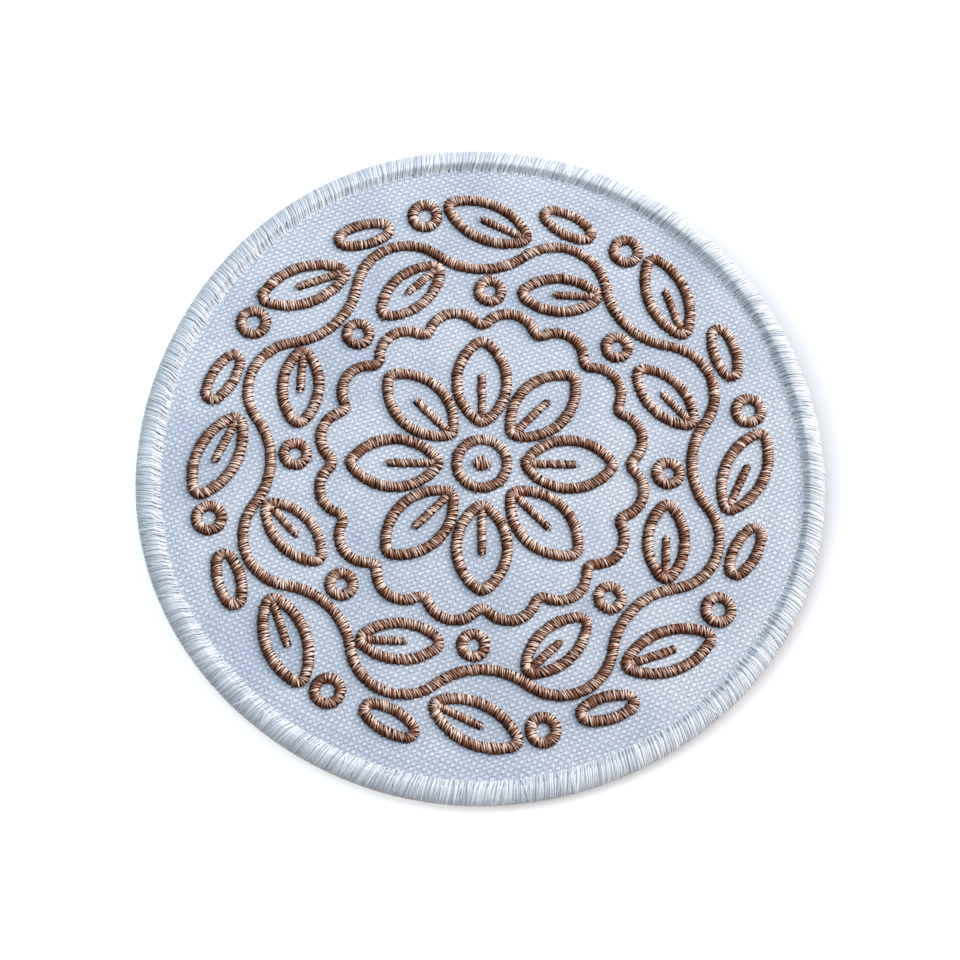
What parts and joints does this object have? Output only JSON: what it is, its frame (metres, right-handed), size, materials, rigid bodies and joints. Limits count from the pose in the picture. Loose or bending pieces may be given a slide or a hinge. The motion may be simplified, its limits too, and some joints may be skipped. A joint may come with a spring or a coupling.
{
  "type": "embroidered clothing patch",
  "caption": "Round embroidered patch: a canvas disc in an overlocked thread border, with a satin-stitched flower inside a leafy wreath.",
  "frame": {"origin": "centre of the underside, on the surface that the patch lies on", "axes": "+Z out of the embroidered face, +Y towards the top of the patch as the picture shows it, +X to its right"},
  "size_m": [0.0898, 0.0899, 0.0022],
  "materials": {
    "canvas": "plain-woven pale blue-white canvas, matt with a fine dotted weave",
    "border_thread": "white polyester thread, overlocked side by side, soft sheen",
    "motif_thread": "copper-brown rayon thread in satin stitch, silky sheen along the thread"
  },
  "bodies": {
    "root": {"ground_cloth": "canvas", "border": "border_thread", "flower_centre": "motif_thread", "flower_knot": "motif_thread", "scalloped_ring": "motif_thread", "vine": "motif_thread", "petal_1": "motif_thread", "petal_2": "motif_thread", "petal_3": "motif_thread", "petal_4": "motif_thread", "petal_5": "motif_thread", "petal_6": "motif_thread", "petal_7": "motif_thread", "petal_8": "motif_thread", "leaf_out_1": "motif_thread", "leaf_out_2": "motif_thread", "leaf_out_3": "motif_thread", "leaf_out_4": "motif_thread", "leaf_out_5": "motif_thread", "leaf_out_6": "motif_thread", "leaf_out_7": "motif_thread", "leaf_out_8": "motif_thread", "leaf_in_1": "motif_thread", "leaf_in_2": "motif_thread", "leaf_in_3": "motif_thread", "leaf_in_4": "motif_thread", "leaf_in_5": "motif_thread", "leaf_in_6": "motif_thread", "leaf_in_7": "motif_thread", "leaf_in_8": "motif_thread", "berry_out_1": "motif_thread", "berry_out_2": "motif_thread", "berry_out_3": "motif_thread", "berry_out_4": "motif_thread", "berry_out_5": "motif_thread", "berry_out_6": "motif_thread", "berry_out_7": "motif_thread", "berry_out_8": "motif_thread", "berry_in_1": "motif_thread", "berry_in_2": "motif_thread", "berry_in_3": "motif_thread", "berry_in_4": "motif_thread", "berry_in_5": "motif_thread", "berry_in_6": "motif_thread", "berry_in_7": "motif_thread", "berry_in_8": "motif_thread", "bud_1": "motif_thread", "bud_2": "motif_thread", "bud_3": "motif_thread", "bud_4": "motif_thread", "bud_5": "motif_thread", "bud_6": "motif_thread", "bud_7": "motif_thread", "bud_8": "motif_thread"}
  },
  "joints": []
}
